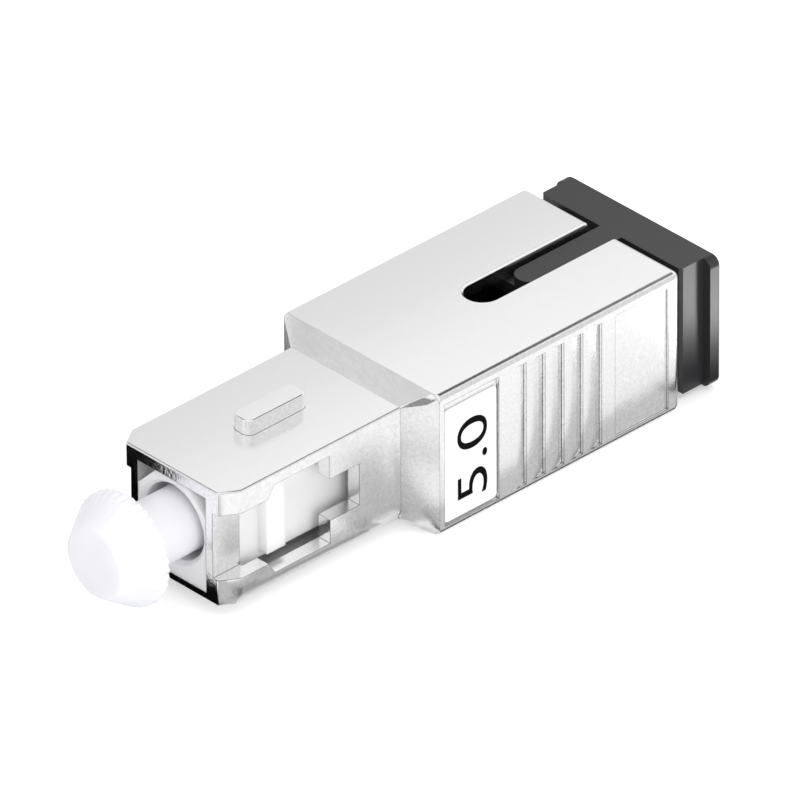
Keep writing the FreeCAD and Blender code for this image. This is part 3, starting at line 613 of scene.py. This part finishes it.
def makeSpringTree(material):
    tree = bpy.data.node_groups.new("wound_spring", "GeometryNodeTree")
    face = tree.interface
    for name in ("Points", "Wire points"):
        face.new_socket(name, in_out="INPUT", socket_type="NodeSocketInt")
    for name in ("Turns", "Radius", "Wire", "Start", "End", "Closed share"):
        face.new_socket(name, in_out="INPUT", socket_type="NodeSocketFloat")
    face.new_socket("Spring", in_out="OUTPUT", socket_type="NodeSocketGeometry")
    given = addNode(tree, "NodeGroupInput").outputs
    line = addNode(tree, "GeometryNodeMeshLine", {"Count": given["Points"]}).outputs[0]
    index = addNode(tree, "GeometryNodeInputIndex").outputs[0]
    last = addNode(tree, "ShaderNodeMath", {0: given["Points"], 1: 1.0},
                   operation="SUBTRACT").outputs[0]
    share = addNode(tree, "ShaderNodeMath", {0: index, 1: last}, operation="DIVIDE").outputs[0]
    turned = addNode(tree, "ShaderNodeMath", {0: share, 1: given["Turns"]},
                     operation="MULTIPLY").outputs[0]
    angle = addNode(tree, "ShaderNodeMath", {0: turned, 1: 2 * math.pi},
                    operation="MULTIPLY").outputs[0]
    other = addNode(tree, "ShaderNodeMath", {0: 1.0, 1: given["Closed share"]},
                    operation="SUBTRACT").outputs[0]
    half = addNode(tree, "ShaderNodeMath", {0: given["Wire"], 1: 0.5}, operation="MULTIPLY").outputs[0]
    first = addNode(tree, "ShaderNodeMath", {0: given["Start"], 1: half}, operation="ADD").outputs[0]
    final = addNode(tree, "ShaderNodeMath", {0: given["End"], 1: half},
                    operation="SUBTRACT").outputs[0]
    nearStart = addNode(tree, "ShaderNodeMath", {0: first, 1: given["Wire"]},
                        operation="ADD").outputs[0]
    nearEnd = addNode(tree, "ShaderNodeMath", {0: final, 1: given["Wire"]},
                      operation="SUBTRACT").outputs[0]
    middle = addNode(tree, "ShaderNodeMapRange", {
        "Value": share, "From Min": given["Closed share"], "From Max": other,
        "To Min": nearStart, "To Max": nearEnd}).outputs[0]
    opening = addNode(tree, "ShaderNodeMapRange", {
        "Value": share, "From Min": 0.0, "From Max": given["Closed share"],
        "To Min": first, "To Max": nearStart}).outputs[0]
    closing = addNode(tree, "ShaderNodeMapRange", {
        "Value": share, "From Min": other, "From Max": 1.0,
        "To Min": nearEnd, "To Max": final}).outputs[0]
    climb = addNode(tree, "ShaderNodeMath", {0: middle, 1: opening}, operation="ADD").outputs[0]
    climb = addNode(tree, "ShaderNodeMath", {0: climb, 1: closing}, operation="ADD").outputs[0]
    climb = addNode(tree, "ShaderNodeMath", {0: climb, 1: nearStart}, operation="SUBTRACT").outputs[0]
    along = addNode(tree, "ShaderNodeMath", {0: climb, 1: nearEnd}, operation="SUBTRACT").outputs[0]
    cosine = addNode(tree, "ShaderNodeMath", {0: angle}, operation="COSINE").outputs[0]
    sine = addNode(tree, "ShaderNodeMath", {0: angle}, operation="SINE").outputs[0]
    across = addNode(tree, "ShaderNodeMath", {0: cosine, 1: given["Radius"]},
                     operation="MULTIPLY").outputs[0]
    up = addNode(tree, "ShaderNodeMath", {0: sine, 1: given["Radius"]}, operation="MULTIPLY").outputs[0]
    place = addNode(tree, "ShaderNodeCombineXYZ", {"X": along, "Y": across, "Z": up}).outputs[0]
    wound = addNode(tree, "GeometryNodeSetPosition", {"Geometry": line, "Position": place}).outputs[0]
    path = addNode(tree, "GeometryNodeMeshToCurve", {"Mesh": wound}).outputs[0]
    ring = addNode(tree, "GeometryNodeCurvePrimitiveCircle", {
        "Resolution": given["Wire points"], "Radius": half}).outputs[0]
    wire = addNode(tree, "GeometryNodeCurveToMesh", {
        "Curve": path, "Profile Curve": ring, "Fill Caps": True}).outputs[0]
    real = addNode(tree, "GeometryNodeRealizeInstances", {"Geometry": wire}).outputs[0]
    dressed = addNode(tree, "GeometryNodeSetMaterial", {"Geometry": real, "Material": material})
    addNode(tree, "NodeGroupOutput", {"Spring": dressed.outputs[0]})
    return tree


def makeSpring():
    piece = workObject("spring_line", bpy.data.meshes.new("spring_line"))
    wind = piece.modifiers.new("wind", "NODES")
    wind.node_group = makeSpringTree(polished["drawn_spring_wire"])
    setInputs(wind, {
        "Points": int(springLook["turns"] * springLook["pointsPerTurn"]) + 1,
        "Wire points": springLook["wirePoints"], "Turns": springLook["turns"],
        "Radius": springLook["radius"], "Wire": springLook["wire"], "Start": springLook["start"],
        "End": springLook["end"], "Closed share": springLook["closedShare"]})
    mesh = outwardMesh(finishedMesh(piece))
    mesh.transform(Matrix.Scale(mm, 4))
    mesh.shade_smooth()
    mesh.set_sharp_from_angle(angle=math.radians(springLook["sharpAngle"]))
    return mesh


# The spring's front end sits on the ferrule's collar and its back end on the core; it belongs to no
# body
wound = addPiece("wound_spring", makeSpring(), polished["drawn_spring_wire"], None, "spring_wire",
                 "ferrule_spring")
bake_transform(wound)
print("spring made")


# Studio: pale floor, soft lamps and a white surround

studio = {
    "floorZ": -4.71,         # just under the shell
    "floorColour": "#F2F2F2",
    "floorSize": 4000.0,
    "seenGlow": 0.35,        # keeps the open floor white in the picture
    "mirroredGlow": 0.1,
    "ambient": 0.93,
}
lamps = {
    # name: (place in mm, size in mm, power in watts)
    "top": ((90.0, -150.0, 320.0), 260.0, 0.16),
    "side": ((-110.0, -330.0, 110.0), 240.0, 0.4),
}


def flatPanel(name, corner, along, across, material):
    # One face from a corner and two edges in millimetres
    corner, along, across = Vector(corner), Vector(along), Vector(across)
    mesh = bpy.data.meshes.new(name)
    corners = [corner, corner + along, corner + along + across, corner + across]
    mesh.from_pydata(corners, [], [(0, 1, 2, 3)])
    mesh.transform(Matrix.Scale(mm, 4))
    mesh.materials.append(material)
    return workObject(name, mesh)


def makeFloor():
    material = bpy.data.materials.new("matt_white_floor")
    tree = emptyTree(material)
    matt = addNode(tree, "ShaderNodeBsdfDiffuse", {"Color": linearColour(studio["floorColour"])})
    ray = addNode(tree, "ShaderNodeLightPath").outputs
    mirrored = addNode(tree, "ShaderNodeMath", {
        0: ray["Is Glossy Ray"], 1: ray["Is Transmission Ray"]}, operation="MAXIMUM").outputs[0]
    faint = addNode(tree, "ShaderNodeMath", {0: mirrored, 1: studio["mirroredGlow"]},
                    operation="MULTIPLY").outputs[0]
    glow = addNode(tree, "ShaderNodeMath", {
        0: ray["Is Camera Ray"], 1: studio["seenGlow"], 2: faint},
        operation="MULTIPLY_ADD").outputs[0]
    light = addNode(tree, "ShaderNodeEmission", {"Strength": glow})
    both = addNode(tree, "ShaderNodeAddShader", {0: matt.outputs[0], 1: light.outputs[0]})
    addNode(tree, "ShaderNodeOutputMaterial", {"Surface": both.outputs[0]})
    size = studio["floorSize"]
    floor = flatPanel("floor", (-size / 2, -size / 2, studio["floorZ"]), (size, 0, 0), (0, size, 0),
                      material)


def makeSurround():
    world = bpy.data.worlds.new("white_surround")
    bpy.context.scene.world = world
    tree = emptyTree(world)
    ray = addNode(tree, "ShaderNodeLightPath").outputs
    seen = addNode(tree, "ShaderNodeMath", {
        0: ray["Is Camera Ray"], 1: ray["Is Glossy Ray"]}, operation="MAXIMUM").outputs[0]
    seen = addNode(tree, "ShaderNodeMath", {
        0: seen, 1: ray["Is Transmission Ray"]}, operation="MAXIMUM").outputs[0]
    strength = addNode(tree, "ShaderNodeMapRange", {
        "Value": seen, "To Min": studio["ambient"], "To Max": 1.0}).outputs[0]
    sky = addNode(tree, "ShaderNodeBackground", {
        "Color": (1.0, 1.0, 1.0, 1.0), "Strength": strength})
    addNode(tree, "ShaderNodeOutputWorld", {"Surface": sky.outputs[0]})


def makeLamps():
    for name, (place, size, power) in lamps.items():
        data = bpy.data.lights.new(name, "AREA")
        data.shape = "SQUARE"
        data.size = size * mm
        data.energy = power
        lamp = workObject(name, data)
        lamp.visible_glossy = False   # the cards make the reflections
        lamp.location = Vector(place) * mm
        lamp.rotation_euler = (-Vector(place)).to_track_quat("-Z", "Y").to_euler()


cards = {
    # name: (corner in mm, one edge, the other edge, colour, strength); only gloss sees them, so each is
    # a painted reflection
    "dark_beside_plug": ((-2.6, 3.9, -4.6), (8.5, 0, 0), (-13.0, 11.1, 0), "#030303", 1.0),
    "dark_before_plug": ((-2.4, -5.0, -4.6), (2.4, 0, 0), (0, 11.0, 0), "#0A0A0A", 1.0),
    "dark_beside_body": ((13.0, 6.2, -4.59), (3.2, 0, 0), (5.6, 13.5, 0), "#050505", 1.0),
    "dark_ahead": ((-130.0, -42.0, 33.0), (0, 42.0, 0), (8.0, 0, 36.0), "#101010", 1.0),
    "dark_overhead": ((105.0, -120.0, 260.0), (145.0, 0, 0), (0, 275.0, 0), "#1C1C1C", 1.0),
    "dark_overhead_back": ((-134.0, 135.0, 260.0), (244.0, 0, 0), (0, 105.0, 0), "#1C1C1C", 1.0),
    "grey_behind": ((-40.0, 25.0, -3.0), (170.0, 0, 0), (0, 0, 30.0), "#E2E2E2", 1.0),
    "grey_ahead": ((-40.0, -25.0, -3.0), (170.0, 0, 0), (0, 0, 30.0), "#E2E2E2", 1.0),
    # painted shade: these lie on the floor by the sides and stand in for the floor's shade near the
    # part as the sides mirror it; bright_far_floor is a painted bright patch of floor
    "line_under_side": ((12.0, -6.65, -4.6), (24.0, 0, 0), (0, 0.25, 0), "#4A4A4A", 1.0),
    "grey_under_side": ((12.0, -8.8, -4.62), (32.0, 0, 0), (0, 2.4, 0), "#C8C8C8", 1.0),
    "line_under_plug": ((-1.0, -5.5, -4.6), (13.0, 0, 0), (0, 0.9, 0), "#A0A0A0", 1.0),
    "grey_under_plug": ((-1.0, -7.0, -4.62), (14.0, 0, 0), (0, 2.2, 0), "#BCBCBC", 1.0),
    "grey_before_corner": ((-4.2, -5.0, -4.58), (5.5, 0, 0), (-4.6, -12.5, 0), "#C2C2C2", 1.0),
    "grey_before_post": ((2.8, -6.0, -4.56), (2.0, 0, 0), (4.3, -4.3, 0), "#B4B4B4", 1.0),
    "grey_by_body": ((11.2, -6.6, -4.57), (3.4, 0, 0), (5.2, -5.5, 0), "#BEBEBE", 1.0),
    "bright_far_floor": ((38.8, -10.8, -4.58), (4.2, 0, 0), (9.8, -10.2, 0), "#FFFFFF", 8.0),
    "dark_near_floor": ((34.3, -8.6, -4.58), (4.2, 0, 0), (2.0, 2.1, 0), "#101010", 1.0),
}


def makeCards():
    for name, (corner, along, across, colour, strength) in cards.items():
        material = bpy.data.materials.new(name + "_painted_reflection")
        tree = emptyTree(material)
        shine = addNode(tree, "ShaderNodeEmission", {
            "Color": linearColour(colour), "Strength": strength})
        addNode(tree, "ShaderNodeOutputMaterial", {"Surface": shine.outputs[0]})
        card = flatPanel(name, corner, along, across, material)
        card.visible_camera = False
        card.visible_diffuse = False
        card.visible_transmission = False
        card.visible_shadow = False


photoView = {
    "azimuth": -43.61,   # degrees round the part; 0 looks along +Y
    "elevation": 32.67,
    "roll": -0.35,
    "distance": 1140.4,  # millimetres from the point looked at
    "aim": (17.864, 0.0, 0.251),
    "lens": 900.0,       # millimetres, as the rest
    "sensor": 36.0,
    "nearest": 50.0,
    "farthest": 10000.0,
}


def makeCamera():
    azimuth = math.radians(photoView["azimuth"])
    elevation = math.radians(photoView["elevation"])
    roll = math.radians(photoView["roll"])
    back = Vector((math.sin(azimuth) * math.cos(elevation),
                   -math.cos(azimuth) * math.cos(elevation), math.sin(elevation)))
    level = (-back).cross(Vector((0, 0, 1))).normalized()
    upright = level.cross(-back)
    right = math.cos(roll) * level + math.sin(roll) * upright
    up = math.cos(roll) * upright - math.sin(roll) * level
    data = bpy.data.cameras.new("photo_camera")
    data.lens = photoView["lens"]
    data.sensor_width = photoView["sensor"]
    data.clip_start = photoView["nearest"] * mm
    data.clip_end = photoView["farthest"] * mm
    camera = workObject("photo_camera", data)
    turned = Matrix((right, up, back)).transposed().to_4x4()
    place = (Vector(photoView["aim"]) + back * photoView["distance"]) * mm
    camera.matrix_world = Matrix.Translation(place) @ turned
    bpy.context.scene.camera = camera


makeFloor()
makeSurround()
makeLamps()
makeCards()
makeCamera()
bpy.context.scene.view_settings.view_transform = "Standard"
print("studio made")
